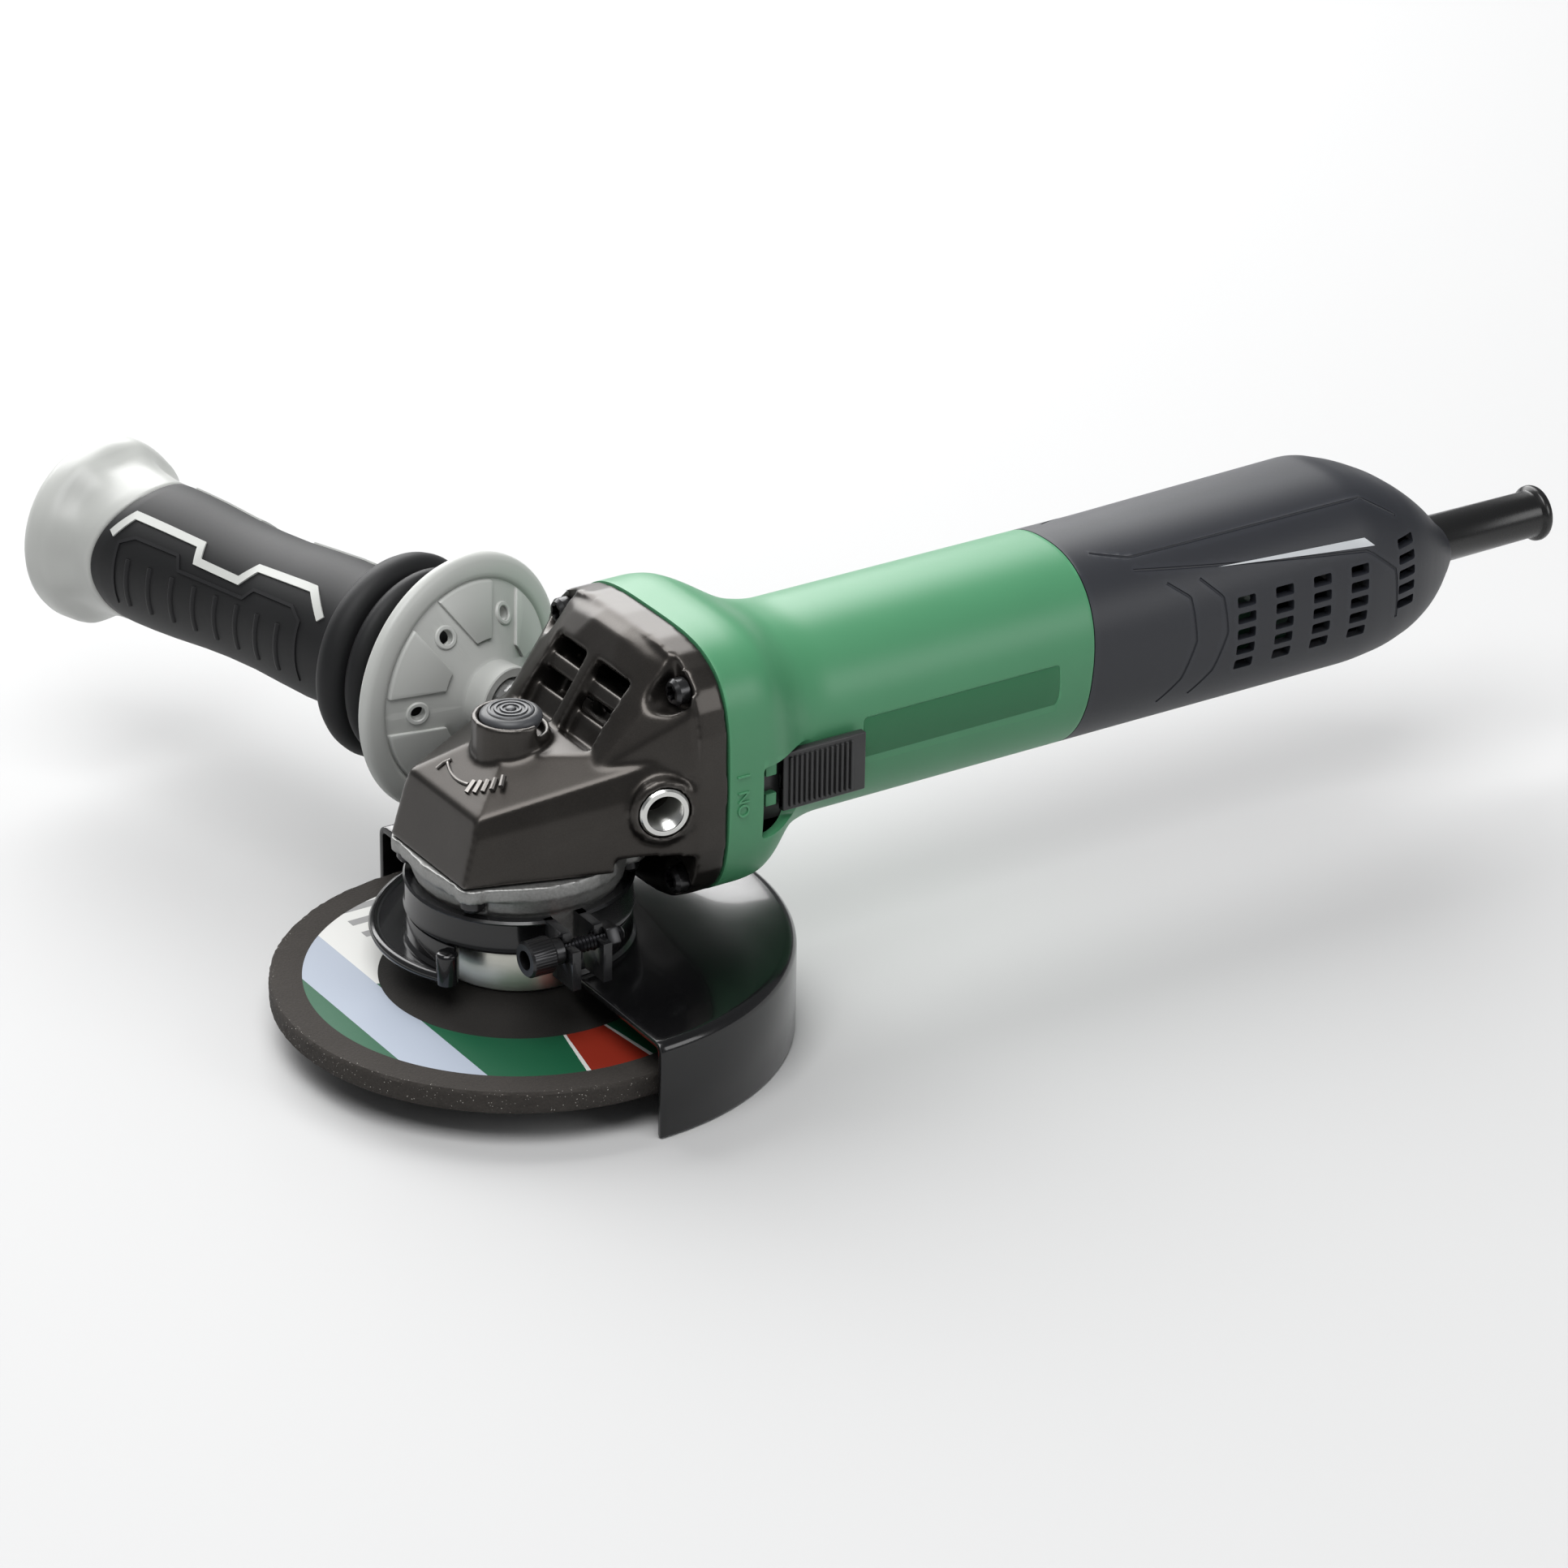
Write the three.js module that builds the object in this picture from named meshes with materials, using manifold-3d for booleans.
// Angle grinder for 125 mm depressed-centre wheels, with slide switch, clamp-on guard and side handle.
// Millimetres. X runs along the motor to the cord end, Y towards the side handle, Z up the spindle.
// Shapes are drawn about the point where the spindle and motor axes cross; the whole grinder is then
// lifted, so that the origin is the middle of the spindle's lower end face.
import * as THREE from "three";
import { ConvexGeometry } from "three/addons/geometries/ConvexGeometry.js";
import { mergeVertices } from "three/addons/utils/BufferGeometryUtils.js";
import Module from "manifold-3d";

// ---------------------------------------------------------------- driving dimensions
const gap = 0.3; // between neighbouring pieces
const wall = 2.6; // of the plastic housings

const wheelRadius = 62.5;
const wheelThickness = 6;
const wheelBore = 11.1;
const wheelTop = -55.4; // tool side of the grinding rim
const hubRise = 4.4; // how far the hub stands above the rim
const flangeRadius = 20.5; // washer above the wheel
const flangeTop = -38.4;
const nutRadius = 19;
const nutThickness = 5.5;
const spindleEnd = -62;
const spindleThread = 7; // M14
const spindleJournal = 7.6;
const spindleBearingRadius = 16;
const spindleBearingFoot = -27;
const spindleBearingTop = -17.3;
const sealFoot = -29.7;

const crownTeeth = 40;
const pinionTeeth = 10;
const crownPitchRadius = 16;
const crownRadius = 18.4;
const toothWidth = 0.9;
const rootShare = 0.62; // half a tooth's thickness at its root and at its tip, as shares of the width
const tipShare = 0.3;
const gearChamber = 20.4;
const gearChamberTop = -2.6;

const neckRadius = 26; // collar that the guard turns on
const neckBottom = -37;
const coverBottom = -22; // underside of the cover's rim
const coverTop = -18.5;
const coverScrewAngles = [37.3, 145]; // degrees from the rear, mirrored to the other side as well
const coverScrewRings = [neckRadius + 0.9, neckRadius + 1.2]; // how far out each of them stands
const coverHeadRadius = 3.3;
const coverScrewLength = 10;
const bandThickness = 2.3;
const bandBottom = -36;
const bandTop = -27;
const guardRadius = wheelRadius + 6.5;
const guardPlate = -44; // top of the guard's sheet
const guardSkirt = -70;
const guardSheet = 1.8;
const guardHalfAngle = 91; // degrees each side of the rear
const collarEnd = 205; // degrees, where the guard's collar and its front lip stop
const lipReach = neckRadius + 20; // of the front lip where it leaves the guard
const lipTail = neckRadius + 4; // and where it ends
const clampScrewHeight = -31.7;
const clampScrewOffset = -(neckRadius + 8.5); // from the spindle, towards the near side
const earBottom = -40.6;
const earThickness = 2.4;
const earsInside = [-6.2, 0.2]; // the faces between which the band is split, along X

const flangeFront = neckRadius + 3.3; // gear case flange, along X
const flangeFace = flangeFront + 8.7;
const flangeHalfWidth = 36.7;
const flangeHalfHeight = 34.8;
const flangeSquareness = 3.6;
const flangeScrewY = 27.2;
const flangeScrewZ = 25.6;

const gripHalfWidth = 26.4;
const gripHalfHeight = 27;
const gripDrop = 1; // how far the grip's middle is below the motor axis
const knobStart = flangeFace + 20;
const knobEnd = knobStart + 24.5;
const recessFloor = -(gripHalfWidth + 1.2); // of the recess that the knob slides in, along Y
const knobBottom = -13.5;
const knobTop = 2.5;
const knobTravel = 5;
const detentLength = 2.2;
const badgeStart = knobEnd + 1.8;
const badgeLength = 59.6;
const housingSeam = badgeStart + badgeLength + 10.3; // between motor housing and rear housing
const seamLean = 0.09;
const rearStraightEnd = housingSeam + 90.8;
const rearEnd = rearStraightEnd + 38.5;
const cordGuardEnd = rearEnd + 37.5;
const cordGuardHeight = -4.3;
const cordGuardRadius = 6.7;
const cordBore = 4.2;
const sideSlotColumns = 4;
const sideSlotStart = rearStraightEnd - 45;
const sideSlotPitch = 12.3;
const sideSlotWidth = 6.4;

const frontBearingX = flangeFace - 14;
const frontBearingRadius = 15;
const frontBearingWidth = 9;
const shaftRadius = 5;
const fanRadius = 26;
const fanStart = flangeFace + 5;
const fanDepth = 9;
const statorRadius = gripHalfWidth - wall - 3.3;
const statorBore = statorRadius - 8.5;
const statorStart = fanStart + fanDepth + 12;
const statorLength = 46;
const rearBearingX = statorStart + statorLength + 9;
const rearBearingRadius = 9.5;
const rearBearingWidth = 7;
const rodOuter = -(gripHalfWidth - wall - 1.2); // the switch rod slides along the housing's near wall
const rodInner = rodOuter + 1.5;

const buttonX = -2;
const buttonRadius = 7.85;
const buttonTop = 18;
const buttonTravel = 3.6;
const pinX = -7.4;
const pinRadius = 1.7;
const lockSpringRadius = 2.1;
const gearSeatRadius = 4.5;
const topJournal = 3;
const topBushRadius = 4.6;
const lockSpringFoot = 3.6;

const bossX = 20.9; // centre of each side handle boss face
const bossY = 34.9;
const bossZ = -2.25;
const bossTurn = THREE.MathUtils.degToRad(14.5);
const insertRadius = 6.4;
const insertBore = 4.75;
const insertDepth = 14;
const handleDiscRadius = 34.3;
const handleGripRadius = 18.8;
const handleGripStart = 50;
const handleGripEnd = 137;
const handleCapRadius = 25.5;
const handleLength = 163;


// ---------------------------------------------------------------- ways of making a solid
const wasm = await Module();
wasm.setup();
const turnRound = Math.PI * 2;

function solid(geometry) {
  const bare = geometry.clone();
  bare.deleteAttribute("normal");
  bare.deleteAttribute("uv");
  const merged = mergeVertices(bare, 1e-4);
  const corners = merged.index.array;
  const kept = [];
  for (let i = 0; i < corners.length; i += 3) {
    const [a, b, c] = [corners[i], corners[i + 1], corners[i + 2]];
    if (a !== b && b !== c && c !== a) kept.push(a, b, c);
  }
  const vertProperties = new Float32Array(merged.attributes.position.array);
  const made = (order) =>
    new wasm.Manifold(new wasm.Mesh({ numProp: 3, vertProperties, triVerts: new Uint32Array(order) }));
  const first = made(kept);
  return first.volume() < 0 ? made(kept.reverse()) : first;
}

function geometryOf(body) {
  const mesh = body.getMesh();
  const geometry = new THREE.BufferGeometry();
  geometry.setAttribute("position", new THREE.BufferAttribute(new Float32Array(mesh.vertProperties), 3));
  geometry.setIndex(new THREE.BufferAttribute(new Uint32Array(mesh.triVerts), 1));
  const flat = geometry.toNonIndexed();
  flat.computeVertexNormals();
  return flat;
}

const join = (first, ...rest) => rest.reduce((sum, next) => sum.add(next), first);
const cut = (first, ...rest) => rest.reduce((left, next) => left.subtract(next), first);

function box([x0, x1], [y0, y1], [z0, z1]) {
  const geometry = new THREE.BoxGeometry(x1 - x0, y1 - y0, z1 - z0);
  return solid(geometry.translate((x0 + x1) / 2, (y0 + y1) / 2, (z0 + z1) / 2));
}

// Turns a lathe's axis from Y to the named axis.
function alongAxis(geometry, axis) {
  if (axis === "z") return geometry.rotateX(Math.PI / 2);
  if (axis === "x") return geometry.rotateZ(-Math.PI / 2);
  return geometry;
}

// A turned body from [radius, distance along the axis] pairs that start and end on the axis, or close.
function turned(axis, profile, steps = 20, at = [0, 0, 0]) {
  const points = profile.map(([r, d]) => new THREE.Vector2(r, d));
  return solid(alongAxis(new THREE.LatheGeometry(points, steps), axis).translate(...at));
}

function ring(axis, inner, outer, from, to, steps = 20, at = [0, 0, 0]) {
  return turned(axis, [[inner, from], [outer, from], [outer, to], [inner, to], [inner, from]], steps, at);
}

function disc(axis, radius, from, to, steps = 20, at = [0, 0, 0]) {
  return turned(axis, [[0, from], [radius, from], [radius, to], [0, to]], steps, at);
}

function hull(points) {
  return solid(new ConvexGeometry(points.map((p) => new THREE.Vector3(...p))));
}

// Each point together with its mirror image in Y.
const bothSides = (points) => points.flatMap(([x, y, z]) => [[x, y, z], [x, -y, z]]);

// An outline in X and Z, pulled along Y.
function sideways(outline, y0, y1) {
  const shape = new THREE.Shape(outline.map(([x, z]) => new THREE.Vector2(x, z)));
  const geometry = new THREE.ExtrudeGeometry(shape, { depth: y1 - y0, bevelEnabled: false });
  return solid(geometry.rotateX(Math.PI / 2).translate(0, y1, 0));
}

// An outline in X and Y, pulled up along Z.
function upwards(outline, z0, z1) {
  const shape = new THREE.Shape(outline.map(([x, y]) => new THREE.Vector2(x, y)));
  return solid(new THREE.ExtrudeGeometry(shape, { depth: z1 - z0, bevelEnabled: false }).translate(0, 0, z0));
}

// A housing's cross-section: an oval that a higher squareness makes boxier.
function ovalSection({ x, halfWidth, top, bottom, squareness, lean = 0 }, shrink, count) {
  const middle = (top + bottom) / 2;
  const power = 2 / squareness;
  const reach = (value) => Math.sign(value) * Math.abs(value) ** power;
  return Array.from({ length: count }, (_, i) => {
    const angle = (turnRound * i) / count;
    const y = (halfWidth - shrink) * reach(Math.cos(angle));
    const z = middle + ((top - bottom) / 2 - shrink) * reach(Math.sin(angle));
    return [x + lean * z, y, z];
  });
}

// A closed skin over a row of oval sections.
function lofted(stations, shrink = 0, count = 28) {
  const sections = stations.map((station) => ovalSection(station, shrink, count));
  const positions = sections.flat().flat();
  const corners = [];
  for (let s = 0; s + 1 < sections.length; s++) {
    for (let i = 0; i < count; i++) {
      const next = (i + 1) % count;
      const [a, b, c, d] = [s * count + i, s * count + next, (s + 1) * count + next, (s + 1) * count + i];
      corners.push(a, b, c, a, c, d);
    }
  }
  for (const [section, flip] of [[0, true], [sections.length - 1, false]]) {
    const middle = positions.length / 3;
    const sum = sections[section].reduce((m, p) => m.map((v, k) => v + p[k]), [0, 0, 0]);
    positions.push(...sum.map((v) => v / count));
    for (let i = 0; i < count; i++) {
      const [a, b] = [section * count + i, section * count + ((i + 1) % count)];
      corners.push(...(flip ? [b, a, middle] : [a, b, middle]));
    }
  }
  const geometry = new THREE.BufferGeometry();
  geometry.setAttribute("position", new THREE.Float32BufferAttribute(positions, 3));
  geometry.setIndex(corners);
  return solid(geometry);
}

function finish(color, roughness, metalness) {
  return new THREE.MeshStandardMaterial({ color, roughness, metalness, flatShading: true });
}

const finishes = {
  casting: finish(0x4a4643, 0.4, 0.7),
  bareAluminium: finish(0x9c9d9c, 0.5, 0.9),
  steel: finish(0xb5b6b8, 0.35, 1),
  darkSteel: finish(0x1c1c1d, 0.45, 0.8),
  copper: finish(0xa8623a, 0.45, 0.9),
  green: finish(0x4b8f68, 0.45, 0),
  darkGreen: finish(0x2f6f49, 0.4, 0),
  blackPlastic: finish(0x17181a, 0.4, 0),
  greyPlastic: finish(0x393b41, 0.6, 0),
  whitePlastic: finish(0xd9dbd8, 0.4, 0),
  rubber: finish(0x1f2022, 0.75, 0),
  blackPaint: finish(0x0d0d0e, 0.2, 0.3),
  abrasive: finish(0x3b3733, 0.95, 0),
  board: finish(0x23442f, 0.6, 0),
};

function addPiece(parent, name, body, material, position = [0, 0, 0]) {
  const mesh = new THREE.Mesh(geometryOf(body), material);
  mesh.name = name;
  mesh.position.set(...position);
  parent.add(mesh);
  return mesh;
}

function addGroup(parent) {
  const group = new THREE.Group();
  parent.add(group);
  return group;
}

const grinder = new THREE.Group();
grinder.position.z = -spindleEnd;

// ---------------------------------------------------------------- gear case
const flangeStation = (x) => ({
  x,
  halfWidth: flangeHalfWidth,
  top: flangeHalfHeight + 0.3,
  bottom: 0.3 - flangeHalfHeight,
  squareness: flangeSquareness,
});
const flangeScrewPlaces = [[-1, -1], [-1, 1], [1, -1], [1, 1]].map(([side, level]) => [
  side * flangeScrewY,
  level * flangeScrewZ,
]);
const coverScrewPlaces = coverScrewAngles.flatMap((angle, i) => {
  const turn = THREE.MathUtils.degToRad(angle);
  const [x, y] = [coverScrewRings[i] * Math.cos(turn), coverScrewRings[i] * Math.sin(turn)];
  return [[x, y], [x, -y]];
});

// Runs along a handle boss: distance is measured out of its face, side is -1 near and 1 far.
function alongBoss(body, side) {
  const degrees = THREE.MathUtils.radToDeg(bossTurn);
  return body.rotate([0, 0, side > 0 ? degrees : 180 - degrees]).translate([bossX, side * bossY, bossZ]);
}

function gearCaseSkin() {
  const head = hull(
    bothSides([
      [-21.5, 16.5, -1], [-22.8, 17.6, -5.8], [-26.3, 18, coverTop + gap], [-8, 6, 8.6], [12, 12, 9.2],
      [flangeFront + 0.5, 33, 11.5], [flangeFront + 0.5, 35.6, 4], [flangeFront + 0.5, 36, coverTop + gap],
    ]),
  );
  const crown = hull(
    bothSides([
      [10.7, 21.5, 7.7], [25.5, 6, 33.2], [26.5, 17, 31.4], [flangeFront + 0.5, 6, 34.9],
      [flangeFront + 0.5, 17, 33.4], [flangeFront + 0.5, 26, 31], [flangeFront + 0.5, 33.6, 22],
      [flangeFront + 0.5, 36, 6], [7.5, 22, 6.5],
    ]),
  );
  const flange = lofted([flangeStation(flangeFront), flangeStation(flangeFace)]);
  const buttonWall = disc("z", 9.8, -1, 13, 24, [buttonX, 0, 0]);
  const crescent = cut(disc("z", 9.8, 10, 16.2, 24, [buttonX, 0, 0]), box([0, 20], [-20, 20], [9, 20]));
  const bosses = [-1, 1].map((side) =>
    alongBoss(join(disc("y", 8.8, -12, -0.7), disc("y", 7.4, -2, 0)), side),
  );
  return join(head, crown, flange, buttonWall, crescent, ...bosses);
}

// The duct leads the fan's air from the flange to the slots in the crown.
function airDuct() {
  const low = sideways([[14.7, 9.3], [22.5, 9.3], [22.5, 22.8]], -16.5, 16.5);
  const end = flangeFace + 1;
  const behind = sideways([[20.1, 18.6], [end, 18.6], [end, 24], [23.2, 24]], -16.5, 16.5);
  const high = sideways([[22.6, 23], [end, 23], [end, 31.8], [27.7, 31.8]], -13, 13);
  return join(low, behind, high);
}

// Each half of the crown's face is sunk a little, and two slots lead on through it.
function airSlots() {
  const slope = Math.atan2(33.2 - 7.7, 25.5 - 10.7);
  const openings = [];
  for (const side of [-1, 1]) {
    openings.push(new THREE.BoxGeometry(19.9, 14.6, 3.2).translate(11.3, side * 9.4, 0.4));
    for (const distance of [10.1, 18.7]) {
      openings.push(new THREE.BoxGeometry(4.2, 14.6, 11).translate(distance, side * 9.4, -3.5));
    }
  }
  return openings.map((opening) => solid(opening.rotateY(-slope).translate(10.7, 0, 7.7)));
}

function screwPockets() {
  return flangeScrewPlaces.map(([y, z]) => {
    const pocket = disc("x", 5, 8, flangeFront + 1.6, 14, [0, y, z]);
    if (z < 0) return join(pocket, disc("x", 8.5, 10, flangeFront, 16, [0, y * 1.13, z + 2.6]));
    const tip = [[8, y * 0.8, z + 9], [flangeFront + 1.6, y * 0.8, z + 9]];
    const foot = [-1, 1].flatMap((edge) => [8, flangeFront + 1.6].map((x) => [x, y + edge * 4.2, z + 2.6]));
    return join(pocket, hull([...tip, ...foot]));
  });
}

function gearCase() {
  const chamber = join(
    disc("z", gearChamber, coverTop - 5, gearChamberTop, 28),
    disc("x", 7, 12, frontBearingX + 1, 20),
    disc("x", frontBearingRadius + gap, frontBearingX - gap, flangeFace + 1, 24),
  );
  const lockRoom = join(
    disc("z", buttonRadius + gap, buttonTop - 4.4 - buttonTravel - gap, 30, 20, [buttonX, 0, 0]),
    disc("z", lockSpringRadius + 0.8, lockSpringFoot - gap, buttonTop - 4, 16, [pinX, 0, 0]),
    disc("z", pinRadius + gap, gearChamberTop - 1, 5, 16, [pinX, 0, 0]),
    disc("z", topBushRadius + gap, gearChamberTop - 1, 2.6, 20),
  );
  const inserts = [-1, 1].map((side) => alongBoss(disc("y", insertRadius + gap, -insertDepth - 1, 1), side));
  const flangeHoles = flangeScrewPlaces.map(([y, z]) => disc("x", 2.4, 20, flangeFace + 1, 8, [0, y, z]));
  const screwTop = coverBottom - 3 + coverScrewLength + gap;
  const coverHoles = coverScrewPlaces.map(([x, y]) => disc("z", 1.9, coverTop - 3, screwTop, 8, [x, y, 0]));
  return cut(
    gearCaseSkin(), chamber, lockRoom, airDuct(), ...airSlots(), ...screwPockets(),
    ...inserts, ...flangeHoles, ...coverHoles,
  );
}

addPiece(grinder, "gear_case", gearCase(), finishes.casting);

function screw(headRadius, headHeight, shankRadius, length) {
  const socket = headRadius * 0.55;
  const profile = [
    [0, headHeight * 0.5], [socket, headHeight * 0.5], [socket, 0], [headRadius, 0],
    [headRadius, headHeight], [shankRadius, headHeight], [shankRadius, length], [0, length],
  ];
  return (axis) => turned(axis, profile, 8);
}

const flangeScrew = screw(3.6, 3.6, 2.1, 24);
flangeScrewPlaces.forEach(([y, z], i) => {
  addPiece(grinder, `flange_screw_${i + 1}`, flangeScrew("x"), finishes.darkSteel, [flangeFront - 2.3, y, z]);
});

for (const [side, name] of [[-1, "near"], [1, "far"]]) {
  const insert = ring("y", insertBore, insertRadius, -insertDepth, 0);
  addPiece(grinder, `handle_insert_${name}`, alongBoss(insert, side), finishes.steel);
}

// ---------------------------------------------------------------- bearing cover and spindle
function bearingCover() {
  const rimRadius = neckRadius + 1.6;
  const rimOutline = hull([
    ...[-1, 1].flatMap((side) => [coverBottom, coverTop].map((z) => [-neckRadius, side * 17.7, z])),
    ...Array.from({ length: 24 }, (_, i) => (turnRound * i) / 24).flatMap((angle) =>
      [coverBottom, coverTop].map((z) => [rimRadius * Math.cos(angle), rimRadius * Math.sin(angle), z]),
    ),
  ]);
  const lugs = coverScrewPlaces.map(([x, y]) =>
    disc("z", coverHeadRadius + 1.2, coverBottom, coverTop, 16, [x, y, 0]),
  );
  const shoulder = coverBottom - 4;
  const boss = turned("z", [
    [0, shoulder], [neckRadius + 0.4, shoulder], [rimRadius - 0.2, coverBottom],
    [rimRadius - 0.2, coverTop - 1], [0, coverTop - 1],
  ], 32);
  const neck = disc("z", neckRadius - gap, neckBottom, shoulder + 1, 32);
  const holes = coverScrewPlaces.map(([x, y]) => disc("z", 1.9, shoulder - 2, coverTop + 1, 8, [x, y, 0]));
  const heads = coverScrewPlaces.map(([x, y]) =>
    disc("z", coverHeadRadius + 0.4, shoulder - 0.2, coverBottom - 0.2, 10, [x, y, 0]),
  );
  return cut(
    cut(join(rimOutline, boss, neck, ...lugs), ...heads),
    disc("z", spindleBearingRadius + gap, spindleBearingFoot - gap, 0, 24),
    disc("z", spindleJournal + 4, sealFoot - gap, 0, 24),
    disc("z", 19.5, neckBottom - 1, -33, 24),
    disc("z", spindleJournal + 0.9, -40, 0, 24),
    ...holes,
  );
}

addPiece(grinder, "bearing_cover", bearingCover(), finishes.bareAluminium);
const coverScrew = screw(coverHeadRadius, 3, 1.6, coverScrewLength);
coverScrewPlaces.forEach(([x, y], i) => {
  const place = [x, y, coverBottom - 3 - gap];
  addPiece(grinder, `cover_screw_${i + 1}`, coverScrew("z"), finishes.darkSteel, place);
});

// A ball bearing as one turned ring, with a groove in one face between its two races.
function bearing(axis, inner, outer, from, to) {
  const third = (outer - inner) / 3;
  const depth = 0.8;
  const profile = [
    [inner, from], [inner + third, from], [inner + third, from + depth], [outer - third, from + depth],
    [outer - third, from], [outer, from], [outer, to], [inner, to], [inner, from],
  ];
  return turned(axis, profile, 20);
}

const spindleBearing = bearing(
  "z", spindleJournal + gap, spindleBearingRadius, spindleBearingFoot, spindleBearingTop,
);
addPiece(grinder, "spindle_bearing", spindleBearing, finishes.steel);
const retainer = ring("z", 12.6, gearChamber - 1.6, spindleBearingTop + gap, spindleBearingTop + 1.9);
addPiece(grinder, "bearing_retainer", retainer, finishes.steel);
const sealTop = spindleBearingFoot - gap;
const feltSeal = ring("z", spindleJournal + gap, spindleJournal + 3.7, sealFoot, sealTop, 24);
addPiece(grinder, "felt_seal", feltSeal, finishes.rubber);
const topBush = ring("z", topJournal + gap, topBushRadius, gearChamberTop + 0.2, 2.3, 20);
addPiece(grinder, "top_bush", topBush, finishes.steel);

const spindleGroup = addGroup(grinder);

function spindle() {
  const shoulder = flangeTop + gap;
  return turned("z", [
    [0, spindleEnd], [spindleThread - 1, spindleEnd], [spindleThread, spindleEnd + 1],
    [spindleThread, shoulder], [9.4, shoulder], [9.4, shoulder + 4], [spindleJournal, shoulder + 4],
    [spindleJournal, -15],
    [gearSeatRadius, -15], [gearSeatRadius, -4.4], [topJournal, -4.4], [topJournal, 1.5], [2.5, 2], [0, 2],
  ]);
}

function crownGear() {
  const rootHeight = -(pinionPitch + 0.95);
  const body = turned("z", [
    [gearSeatRadius + gap, -14.6], [12, -14.6], [12, -13.4], [crownRadius, -10.5], [crownRadius, rootHeight],
    [12.4, rootHeight], [12.4, -5.6], [gearSeatRadius + gap, -5.6], [gearSeatRadius + gap, -14.6],
  ], crownTeeth);
  const tooth = hull(
    [12.6, crownRadius - 0.1].flatMap((x) =>
      [-1, 1].flatMap((side) => [
        [x, side * toothWidth * rootShare, rootHeight - 0.5],
        [x, side * toothWidth * tipShare, 0.65 - pinionPitch],
      ]),
    ),
  );
  const toothTurn = 360 / crownTeeth;
  const teeth = Array.from({ length: crownTeeth }, (_, i) => tooth.rotate([0, 0, (i + 0.5) * toothTurn]));
  const holes = [0, 90, 180, 270].map((angle) =>
    disc("z", pinRadius + 0.4, -10, 0, 8, [pinX, 0, 0]).rotate([0, 0, angle]),
  );
  return cut(join(body, ...teeth), ...holes);
}

const pinionPitch = (crownPitchRadius * pinionTeeth) / crownTeeth;
const wheelHub = wheelTop + hubRise;
addPiece(spindleGroup, "spindle", spindle(), finishes.steel);
addPiece(spindleGroup, "crown_gear", crownGear(), finishes.steel);

const innerFlange = turned("z", [
  [spindleThread + gap, flangeTop], [13, flangeTop], [flangeRadius - 1, flangeTop - 1.4],
  [flangeRadius, flangeTop - 2.4], [flangeRadius, wheelHub + gap], [wheelBore - gap, wheelHub + gap],
  [wheelBore - gap, wheelHub - 2.2], [spindleThread + gap, wheelHub - 2.2], [spindleThread + gap, flangeTop],
], 28);
addPiece(spindleGroup, "inner_flange", innerFlange, finishes.steel);

const grindingWheel = turned("z", [
  [wheelBore, wheelHub], [22.5, wheelHub], [33.5, wheelTop], [wheelRadius - 0.6, wheelTop],
  [wheelRadius, wheelTop - 0.6], [wheelRadius, wheelTop - wheelThickness + 0.6],
  [wheelRadius - 0.6, wheelTop - wheelThickness], [31.5, wheelTop - wheelThickness],
  [22, wheelHub - wheelThickness], [wheelBore, wheelHub - wheelThickness], [wheelBore, wheelHub],
], 44);
addPiece(spindleGroup, "grinding_wheel", grindingWheel, finishes.abrasive);

function lockNut() {
  const seat = wheelHub - wheelThickness - gap;
  const body = turned("z", [
    [spindleThread + gap, seat + 3], [wheelBore - gap, seat + 3], [wheelBore - gap, seat], [nutRadius, seat],
    [nutRadius, seat - nutThickness + 1], [nutRadius - 1, seat - nutThickness],
    [spindleThread + gap, seat - nutThickness], [spindleThread + gap, seat + 3],
  ], 24);
  const holes = [0, 90, 180, 270].map((angle) =>
    disc("z", 2.2, seat - nutThickness - 1, seat - 2.5, 8, [15, 0, 0]).rotate([0, 0, angle]),
  );
  return cut(body, ...holes);
}
addPiece(spindleGroup, "lock_nut", lockNut(), finishes.darkSteel);

// ---------------------------------------------------------------- spindle lock
const lockGroup = addGroup(grinder);
const cap = turned("z", [
  [0, buttonTop - 4.4], [buttonRadius - 0.4, buttonTop - 4.4], [buttonRadius, buttonTop - 3.8],
  [buttonRadius, buttonTop - 1.4], [buttonRadius - 1.4, buttonTop], [0, buttonTop],
], 28, [buttonX, 0, 0]);
addPiece(lockGroup, "lock_button", cap, finishes.rubber);
const lockPin = disc("z", pinRadius, -5.6 + gap + 0.4, buttonTop - 4.4 - gap, 14, [pinX, 0, 0]);
addPiece(lockGroup, "lock_pin", lockPin, finishes.steel);

function lockSpring() {
  const [low, high, coils, radius, wire] = [lockSpringFoot, buttonTop - 4.8, 4, lockSpringRadius, 0.3];
  const points = Array.from({ length: coils * 10 + 1 }, (_, i) => {
    const angle = (turnRound * i) / 10;
    const height = low + wire + ((high - low - 2 * wire) * i) / (coils * 10);
    return new THREE.Vector3(radius * Math.cos(angle), radius * Math.sin(angle), height);
  });
  const section = new THREE.Shape(new THREE.EllipseCurve(0, 0, wire, wire, 0, turnRound).getPoints(5));
  const path = new THREE.CatmullRomCurve3(points);
  const along = { steps: coils * 10, extrudePath: path, bevelEnabled: false };
  return solid(new THREE.ExtrudeGeometry(section, along).translate(pinX, 0, 0));
}
addPiece(grinder, "lock_spring", lockSpring(), finishes.steel);

// ---------------------------------------------------------------- guard
const guardGroup = addGroup(grinder);

// The part of a ring between two angles, measured from the rear (+X) towards the far side.
function sector(from, to, radius, z0, z1) {
  const steps = Math.ceil((to - from) / 10);
  const arc = Array.from({ length: steps + 1 }, (_, i) => {
    const angle = THREE.MathUtils.degToRad(from + ((to - from) * i) / steps);
    return [radius * Math.cos(angle), radius * Math.sin(angle)];
  });
  return upwards([[0, 0], ...arc], z0, z1);
}

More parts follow.
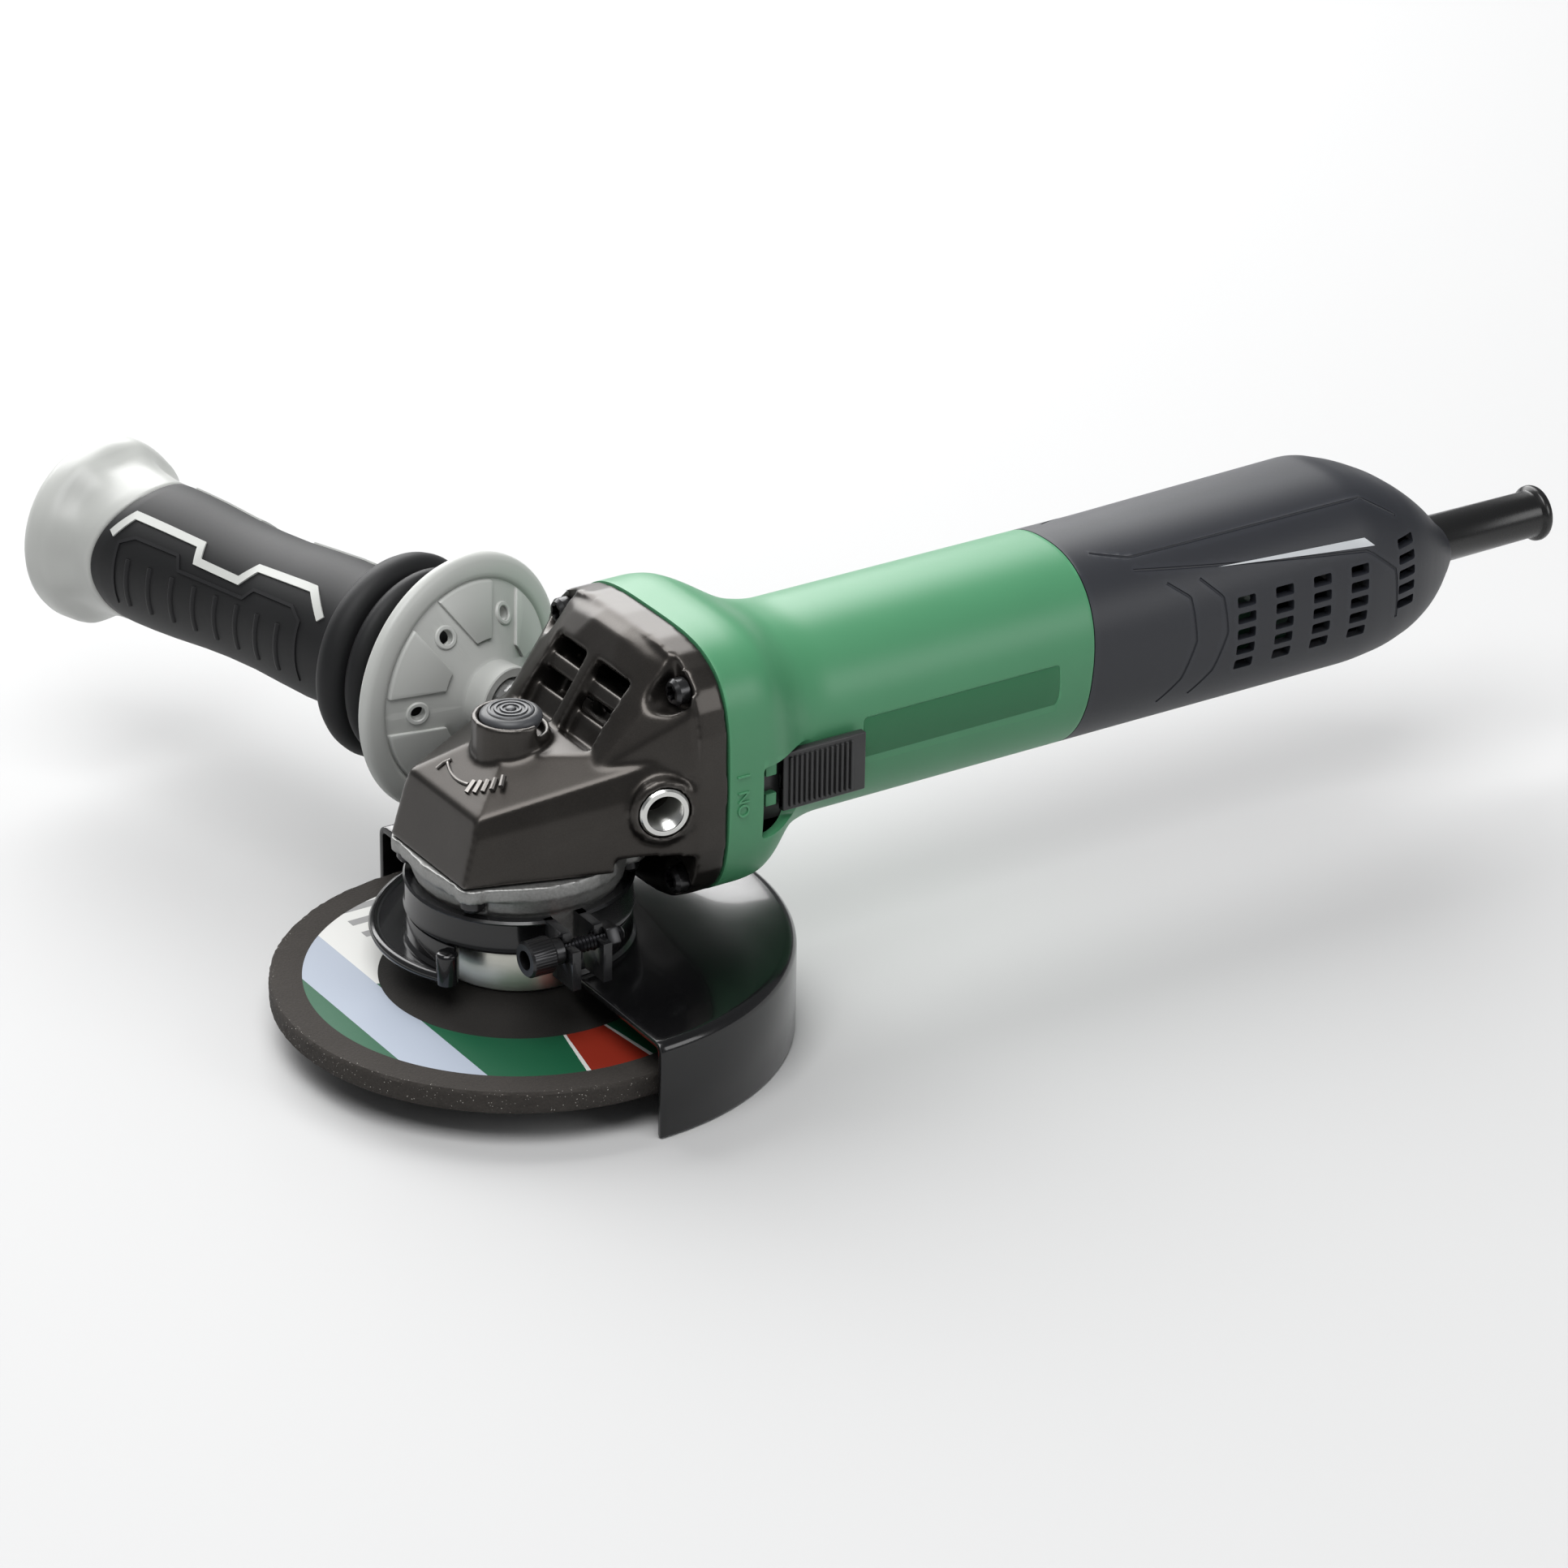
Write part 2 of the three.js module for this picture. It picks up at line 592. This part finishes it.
function guardShroud() {
  const bore = neckRadius + bandThickness;
  const under = guardPlate - guardSheet;
  const shell = turned("z", [
    [bore - 2, guardPlate], [guardRadius - 3, guardPlate],
    [guardRadius - 0.9, guardPlate - 0.9], [guardRadius, guardPlate - 3], [guardRadius, guardSkirt],
    [guardRadius - guardSheet, guardSkirt], [guardRadius - guardSheet, under - 1.6],
    [guardRadius - 3.4, under], [bore - 2, under], [bore - 2, guardPlate],
  ], 52);
  const rear = shell.intersect(sector(-guardHalfAngle, guardHalfAngle, 120, guardSkirt - 1, 0));
  const collarRing = ring("z", neckRadius, bore, under, bandBottom - gap, 36);
  const collar = collarRing.intersect(sector(-guardHalfAngle, collarEnd, 60, under - 1, 0));
  const crescentArc = Array.from({ length: 13 }, (_, i) => i / 12);
  const lipSpan = collarEnd - 85;
  const alongLip = (t, reach) => {
    const angle = THREE.MathUtils.degToRad(85 + lipSpan * t);
    return [reach * Math.cos(angle), reach * Math.sin(angle)];
  };
  const lipEdge = (t) => alongLip(t, lipReach - (lipReach - lipTail) * t ** 0.7);
  const crescent = upwards(
    [...crescentArc.map(lipEdge), ...crescentArc.map((t) => alongLip(1 - t, bore - 1.3))], under, guardPlate,
  );
  const post = disc("z", 2.9, under, guardPlate + 6.6, 16, alongLip(0.985, bore + 1.6).concat(0));
  const inside = disc("z", neckRadius, guardSkirt, 0, 36);
  return cut(join(rear, collar, crescent, post), inside);
}
addPiece(guardGroup, "guard_shroud", guardShroud(), finishes.blackPaint);

function clampBand() {
  const band = ring("z", neckRadius, neckRadius + bandThickness, bandBottom, bandTop, 40);
  const reach = clampScrewOffset - 5.5;
  const ears = [earsInside[0] - earThickness, earsInside[1]].map((x) => {
    const ear = box([x, x + earThickness], [reach, -neckRadius], [earBottom, bandTop]);
    const slant = box([x - 1, x + 1 + earThickness], [reach - 1, reach + 5], [bandTop - 3.5, bandTop + 5]);
    const underBand = box([x - 1, x + 1 + earThickness], [reach + 9.6, 0], [earBottom - 1, bandBottom]);
    return cut(ear, slant, underBand);
  });
  const split = box(earsInside, [reach - 1, 6 - neckRadius], [bandBottom - 1, bandTop + 1]);
  const hole = disc("x", 2.3, -20, 20, 14, [0, clampScrewOffset, clampScrewHeight]);
  return cut(join(band, ...ears), disc("z", neckRadius, -50, 0, 40), split, hole);
}
addPiece(guardGroup, "clamp_band", clampBand(), finishes.blackPaint);

const clampScrew = turned("x", [
  [0, -15.5], [2.2, -15.5], [2.2, -18.8], [4.2, -18.8], [4.6, -18.3], [4.6, -12], [2, -12], [2, 8],
  [1.6, 8.6], [0, 8.6],
], 20);
const clampAt = [0, clampScrewOffset, clampScrewHeight];
addPiece(guardGroup, "clamp_screw", clampScrew, finishes.darkSteel, clampAt);
const clampNut = ring("x", 2 + gap, 4, earsInside[1] + earThickness + gap, 6.4, 6);
addPiece(guardGroup, "clamp_nut", clampNut, finishes.darkSteel, clampAt);
const clampSpacer = ring("x", 2 + gap, 3.4, -12 + gap, earsInside[0] - earThickness - gap, 16);
addPiece(guardGroup, "clamp_washer", clampSpacer, finishes.darkSteel, clampAt);

// ---------------------------------------------------------------- motor
const rotorGroup = addGroup(grinder);
const rotorEnd = statorStart + statorLength;
const rotorShaft = turned("x", [
  [0, 13], [2.1, 13], [2.1, frontBearingX - 3], [6.4, frontBearingX - 3], [6.4, frontBearingX - gap],
  [shaftRadius, frontBearingX - gap], [shaftRadius, rearBearingX - gap], [3.5, rearBearingX - gap],
  [3.5, rearBearingX + rearBearingWidth + 1], [0, rearBearingX + rearBearingWidth + 1],
], 18);
addPiece(rotorGroup, "rotor_shaft", rotorShaft, finishes.steel);

function pinion() {
  const tip = pinionPitch + 0.65;
  const root = pinionPitch - 0.9;
  const outline = [];
  for (let i = 0; i < pinionTeeth; i++) {
    const middle = (turnRound * i) / pinionTeeth;
    const flank = [[root, toothWidth * rootShare], [tip, toothWidth * tipShare]];
    for (const [radius, half] of flank) outline.push([radius, middle - half / radius]);
    for (const [radius, half] of flank.reverse()) outline.push([radius, middle + half / radius]);
  }
  const star = new THREE.Shape(outline.map(([r, a]) => new THREE.Vector2(r * Math.cos(a), r * Math.sin(a))));
  const body = new THREE.ExtrudeGeometry(star, { depth: 6, bevelEnabled: false });
  const along = body.rotateY(Math.PI / 2).translate(14.2, 0, 0);
  return cut(solid(along), disc("x", 2.1 + gap, 10, 30, 16));
}
addPiece(rotorGroup, "pinion", pinion(), finishes.steel);
const rotor = ring("x", shaftRadius + gap, statorBore - 0.6, statorStart, rotorEnd);
addPiece(rotorGroup, "rotor", rotor, finishes.darkSteel);

function fan() {
  const plate = turned("x", [
    [shaftRadius + gap, fanStart], [fanRadius, fanStart], [fanRadius, fanStart + 1.4], [10, fanStart + 1.6],
    [9, fanStart + fanDepth], [shaftRadius + gap, fanStart + fanDepth], [shaftRadius + gap, fanStart],
  ], 24);
  const blade = box([fanStart + 0.8, fanStart + fanDepth - 1], [11, fanRadius - 0.5], [-0.7, 0.7]);
  const blades = Array.from({ length: 12 }, (_, i) => blade.rotate([i * 30, 0, 0]));
  return join(plate, ...blades);
}
addPiece(rotorGroup, "cooling_fan", fan(), finishes.blackPlastic);

const frontBearingEnd = frontBearingX + frontBearingWidth;
const frontBearing = bearing("x", shaftRadius + gap, frontBearingRadius, frontBearingX, frontBearingEnd);
addPiece(grinder, "front_motor_bearing", frontBearing, finishes.steel);
const frontPlate = ring("x", 9, frontBearingRadius, frontBearingEnd + gap, flangeFace - gap);
addPiece(grinder, "front_bearing_plate", frontPlate, finishes.steel);
const rearBearing = bearing("x", 3.5 + gap, rearBearingRadius, rearBearingX, rearBearingX + rearBearingWidth);
addPiece(grinder, "rear_motor_bearing", rearBearing, finishes.steel);

function stator() {
  const core = ring("x", statorBore, statorRadius, statorStart, rotorEnd, 28);
  const slot = box([statorStart - 1, rotorEnd + 1], [statorBore - 1, statorRadius - 3.5], [-1.6, 1.6]);
  return cut(core, ...Array.from({ length: 6 }, (_, i) => slot.rotate([30 + i * 60, 0, 0])));
}
addPiece(grinder, "stator", stator(), finishes.darkSteel);
for (const [name, from] of [["winding_front", statorStart - 4], ["winding_rear", rotorEnd + gap]]) {
  const winding = turned("x", [
    [statorBore + 0.8, from], [statorRadius - 4, from], [statorRadius - 3, from + 1.5],
    [statorRadius - 3, from + 3.7], [statorBore + 0.8, from + 3.7], [statorBore + 0.8, from],
  ], 20);
  addPiece(grinder, name, winding, finishes.copper);
}

// ---------------------------------------------------------------- motor housing
const gripStation = (x, lean = 0) => ({
  x,
  halfWidth: gripHalfWidth,
  top: gripHalfHeight - gripDrop,
  bottom: -gripHalfHeight - gripDrop,
  squareness: 2.3,
  lean,
});
// Between the flange's section and the grip's: share 0 is the flange, 1 the grip.
function fairingStation(x, share) {
  const [a, b] = [flangeStation(x), gripStation(x)];
  const keys = ["halfWidth", "top", "bottom", "squareness"];
  return { x, ...Object.fromEntries(keys.map((key) => [key, a[key] + (b[key] - a[key]) * share])) };
}

const gripMiddle = [0, 0, -gripDrop];
const badgeRoom = (clearance) => [badgeStart - clearance, badgeStart + badgeLength + clearance];

function switchRecess() {
  const front = knobStart - knobTravel - gap - detentLength;
  const middle = (knobBottom + knobTop) / 2;
  const opening = box([front, knobEnd + 3], [-45, recessFloor], [knobBottom - 2.6, knobTop + 1.2]);
  const detents = [middle - 4.2, middle + 4.2].map((z) =>
    box([front - 1, front + detentLength], [recessFloor - 3, recessFloor + 0.6], [z - 1.7, z + 1.7]),
  );
  return cut(opening, ...detents);
}

function motorHousing() {
  const front = flangeFace + gap;
  const stations = [
    fairingStation(front, 0), fairingStation(flangeFace + 11, 0), fairingStation(flangeFace + 16, 0.12),
    fairingStation(flangeFace + 21, 0.45), fairingStation(flangeFace + 27, 0.82),
    fairingStation(flangeFace + 36, 1), gripStation(housingSeam, seamLean),
  ];
  const inner = stations.map((s) => ({ ...s }));
  inner[0].x = front - 5;
  inner[inner.length - 1].x = housingSeam + 5;
  const shell = cut(lofted(stations), lofted(inner, wall, 20));
  const screwBosses = flangeScrewPlaces.map(([y, z]) => disc("x", 5, front, flangeFace + 15, 10, [0, y, z]));
  const screwHoles = flangeScrewPlaces.map(([y, z]) => disc("x", 2.4, 20, flangeFace + 13.5, 8, [0, y, z]));
  const ribs = [45, 135, 225, 315].map((angle) =>
    box([statorStart, rotorEnd], [statorRadius + gap, gripHalfHeight], [-1.5, 1.5]).rotate([angle, 0, 0]),
  );
  const bearingArms = [45, 135, 225, 315].map((angle) =>
    box([rearBearingX - 3, rearBearingX], [3, gripHalfHeight], [-2, 2]).rotate([angle, 0, 0]),
  );
  const bearingCup = disc("x", rearBearingRadius + 2.6, rearBearingX - 3, rearBearingX + rearBearingWidth);
  const inside = join(...screwBosses, ...ribs, bearingCup, ...bearingArms).intersect(lofted(stations, 0.4));
  const bearingRoom = join(
    disc("x", rearBearingRadius + gap, rearBearingX - gap, rearBearingX + 20),
    disc("x", 5.8, rearBearingX - 10, rearBearingX, 14),
  );
  const rodSlot = box([knobStart + 3.5, knobEnd - 6], [-40, -15], [-7.6, -3.4]);
  const badgeSeat = box(badgeRoom(gap), [-40, -18], [-10.9, 4.4]);
  const [seatFrom, seatTo] = badgeRoom(5);
  const seatFloor = disc("x", gripHalfWidth - 0.4 - gap, seatFrom, seatTo, 48, gripMiddle);
  const hollow = join(...screwHoles, bearingRoom, switchRecess(), rodSlot, cut(badgeSeat, seatFloor));
  return cut(join(shell, inside), hollow);
}
addPiece(grinder, "motor_housing", motorHousing(), finishes.green);

const badge = box(badgeRoom(0), [-40, -18], [-10.6, 4.1])
  .intersect(disc("x", gripHalfWidth + 0.1, ...badgeRoom(5), 48, gripMiddle))
  .subtract(disc("x", gripHalfWidth - 0.4, ...badgeRoom(9), 48, gripMiddle));
addPiece(grinder, "badge_plate", badge, finishes.darkGreen);

const switchGroup = addGroup(grinder);
const stemSpan = [knobStart + 11.2, knobStart + 17.4];
function switchKnob() {
  const outline = [
    [knobStart, knobBottom], [knobEnd - 3, knobBottom], [knobEnd, knobBottom + 3], [knobEnd, knobTop - 3],
    [knobEnd - 3, knobTop], [knobStart, knobTop],
  ];
  const plate = sideways(outline, recessFloor - 2.8, recessFloor - gap);
  const ribs = Array.from({ length: 9 }, (_, i) => {
    const start = knobStart + 2.2 + i * 2;
    return box([start, start + 1], [recessFloor - 3.4, recessFloor - 2], [knobBottom + 1, knobTop - 1]);
  });
  const stem = box(stemSpan, [recessFloor - 0.4, rodOuter - 1.3 - gap], [-7, -4]);
  return join(plate, ...ribs, stem);
}
addPiece(switchGroup, "switch_knob", switchKnob(), finishes.blackPlastic);
const switchRod = join(
  box([knobStart + 8, housingSeam - 4.2], [rodOuter, rodInner], [-7.2, -3.8]),
  box(stemSpan, [rodOuter - 1.3, rodInner], [-7, -4]),
);
addPiece(switchGroup, "switch_rod", switchRod, finishes.blackPlastic);

// ---------------------------------------------------------------- rear housing and electronics
function rearHousing() {
  const grip = gripStation(housingSeam + gap, seamLean);
  const stations = [
    grip,
    gripStation(175),
    { x: rearStraightEnd, halfWidth: gripHalfWidth - 0.4, top: 27, bottom: -27.6, squareness: 2.5 },
    { x: rearStraightEnd + 11, halfWidth: 24.6, top: 23, bottom: -26, squareness: 2.6 },
    { x: rearStraightEnd + 21, halfWidth: 21.5, top: 18, bottom: -23.5, squareness: 2.6 },
    { x: rearEnd - 9, halfWidth: 17, top: 11, bottom: -19.5, squareness: 2.6 },
    { x: rearEnd - 3, halfWidth: 12.6, top: 4.4, bottom: -14.6, squareness: 2.4 },
    { x: rearEnd, halfWidth: 10, top: 2, bottom: -11.5, squareness: 2.2 },
  ];
  const inner = stations.slice(0, -1).map((s) => ({ ...s }));
  inner[0].x = housingSeam - 5;
  inner[inner.length - 1].x = rearEnd - 4;
  const shell = cut(lofted(stations), lofted(inner, wall, 20));
  const columns = Array.from({ length: sideSlotColumns }, (_, i) => sideSlotStart + i * sideSlotPitch);
  const sideSlots = columns.map((x) => box([x, x + sideSlotWidth], [-40, 40], [-12.4, 8.8]));
  const endSlot = box([rearStraightEnd + 9, rearStraightEnd + 9 + sideSlotWidth], [-40, 40], [-8.2, 11.8]);
  const cordSeat = join(
    disc("x", cordGuardRadius + gap, rearEnd - 12, rearEnd + 5, 24, [0, 0, cordGuardHeight]),
    disc("x", cordGuardRadius + 2.4, rearEnd - 12, rearEnd - 5, 24, [0, 0, cordGuardHeight]),
  );
  return cut(shell, ...sideSlots, endSlot, cordSeat);
}
addPiece(grinder, "rear_housing", rearHousing(), finishes.greyPlastic);

const cordGuard = turned("x", [
  [cordBore, rearEnd - 8], [cordGuardRadius + 2, rearEnd - 8], [cordGuardRadius + 2, rearEnd - 5.3],
  [cordGuardRadius, rearEnd - 5.3], [cordGuardRadius - 0.3, cordGuardEnd - 3],
  [cordGuardRadius + 1, cordGuardEnd - 2.2], [cordGuardRadius + 1, cordGuardEnd - 0.6],
  [cordGuardRadius + 0.4, cordGuardEnd], [cordBore, cordGuardEnd], [cordBore, rearEnd - 8],
], 24);
addPiece(grinder, "cord_guard", cordGuard, finishes.rubber, [0, 0, cordGuardHeight]);

const switchBlock = box([housingSeam - 18.2, housingSeam + 1.8], [rodInner + 1.5, rodInner + 14.1], [-10, 6]);
addPiece(grinder, "switch_block", switchBlock, finishes.blackPlastic);
function controllerBoard() {
  const front = housingSeam + 13.8;
  const board = box([front, front + 64], [-16, 16], [-13, -11]);
  const canisters = [[14, -7], [14, 7], [30, -7]].map(([x, y]) =>
    disc("z", 5, -11.5, 6, 16, [front + x, y, 0]),
  );
  const chips = [-8, 0, 8].map((y) => box([front + 40, front + 48], [y - 3, y + 3], [-11.5, -2]));
  return join(board, ...canisters, ...chips);
}
addPiece(grinder, "controller_board", controllerBoard(), finishes.board);
const cordClamp = box([rearStraightEnd + 7, rearStraightEnd + 15], [-12, 12], [-17, -9.6]);
addPiece(grinder, "cord_clamp", cordClamp, finishes.blackPlastic);

// ---------------------------------------------------------------- side handle
const handleGroup = addGroup(grinder);
handleGroup.position.set(bossX, bossY, bossZ);
handleGroup.rotation.z = bossTurn;

const boltHead = 30;
const boltCollarRadius = 6.5;
const boltCollarEnd = 8;
const coreRadius = 10.3;
const gripBore = coreRadius + gap;
const handleBolt = turned("y", [
  [0, -11.5], [3.4, -11.5], [insertBore - gap, -10.4], [insertBore - gap, gap], [boltCollarRadius, gap],
  [boltCollarRadius, boltCollarEnd], [insertBore - gap, boltCollarEnd], [insertBore - gap, boltHead - 6],
  [7.5, boltHead - 6], [7.5, boltHead], [0, boltHead],
], 20);
addPiece(handleGroup, "handle_bolt", handleBolt, finishes.steel);

function handleDisc() {
  const bore = insertBore + gap;
  const collarBore = boltCollarRadius + gap;
  const collarSeat = boltCollarEnd + gap;
  const rim = handleDiscRadius;
  const body = turned("y", [
    [collarBore, 3.4], [9.5, 3.4], [9.5, 10.4], [28, 19.6], [rim - 0.8, 20.4], [rim, 21.2], [rim, 22.6],
    [rim - 0.8, 23.4], [28, 22.6], [12, 14.2], [12, 23], [bore, 23], [bore, collarSeat],
    [collarBore, collarSeat], [collarBore, 3.4],
  ], 32);
  const holes = Array.from({ length: 6 }, (_, i) => {
    const angle = (i * turnRound) / 6;
    return disc("y", 1.9, 5, 30, 8, [20.3 * Math.cos(angle), 0, 20.3 * Math.sin(angle)]);
  });
  return cut(body, ...holes);
}
addPiece(handleGroup, "handle_disc", handleDisc(), finishes.whitePlastic);

function damper() {
  const outer = [[18, 24.2]];
  for (const [middle, crest] of [[29, 24], [36, 26], [45, 27.5]]) {
    outer.push([crest - 4, middle - 3.2], [crest, middle - 1.2]);
    outer.push([crest, middle + 1.2], [crest - 4, middle + 3.2]);
  }
  outer.push([handleGripRadius, handleGripStart - gap]);
  return turned("y", [[gripBore, 24.2], ...outer, [gripBore, handleGripStart - gap], [gripBore, 24.2]], 28);
}
addPiece(handleGroup, "vibration_damper", damper(), finishes.rubber);

const coreEnd = handleGripEnd + 8;
const handleCore = turned("y", [
  [7.8, 23.4], [coreRadius, 23.4], [coreRadius, coreEnd], [0, coreEnd], [0, boltHead + gap],
  [7.8, boltHead + gap], [7.8, 23.4],
], 20);
addPiece(handleGroup, "handle_core", handleCore, finishes.whitePlastic);

const grip = turned("y", [
  [gripBore, handleGripStart], [handleGripRadius - 1.2, handleGripStart],
  [handleGripRadius, handleGripStart + 1.5], [handleGripRadius + 0.3, 62], [handleGripRadius - 0.9, 85],
  [handleGripRadius - 0.9, 100], [handleGripRadius + 0.4, 120], [handleGripRadius, handleGripEnd],
  [gripBore, handleGripEnd], [gripBore, handleGripStart],
], 24);
addPiece(handleGroup, "handle_grip", grip, finishes.rubber);

const endCap = turned("y", [
  [gripBore, handleGripEnd + gap], [handleGripRadius, handleGripEnd + gap],
  [handleGripRadius + 0.4, handleLength - 19], [handleCapRadius - 4.1, handleLength - 15.4],
  [handleCapRadius - 0.9, handleLength - 11.5], [handleCapRadius, handleLength - 8.5],
  [handleCapRadius, handleLength - 4.5], [handleCapRadius - 2.5, handleLength - 1.5],
  [handleCapRadius - 11.5, handleLength - 0.3], [0, handleLength],
  [0, coreEnd + gap], [gripBore, coreEnd + gap], [gripBore, handleGripEnd + gap],
], 24);
addPiece(handleGroup, "handle_end_cap", endCap, finishes.whitePlastic);

export default grinder;
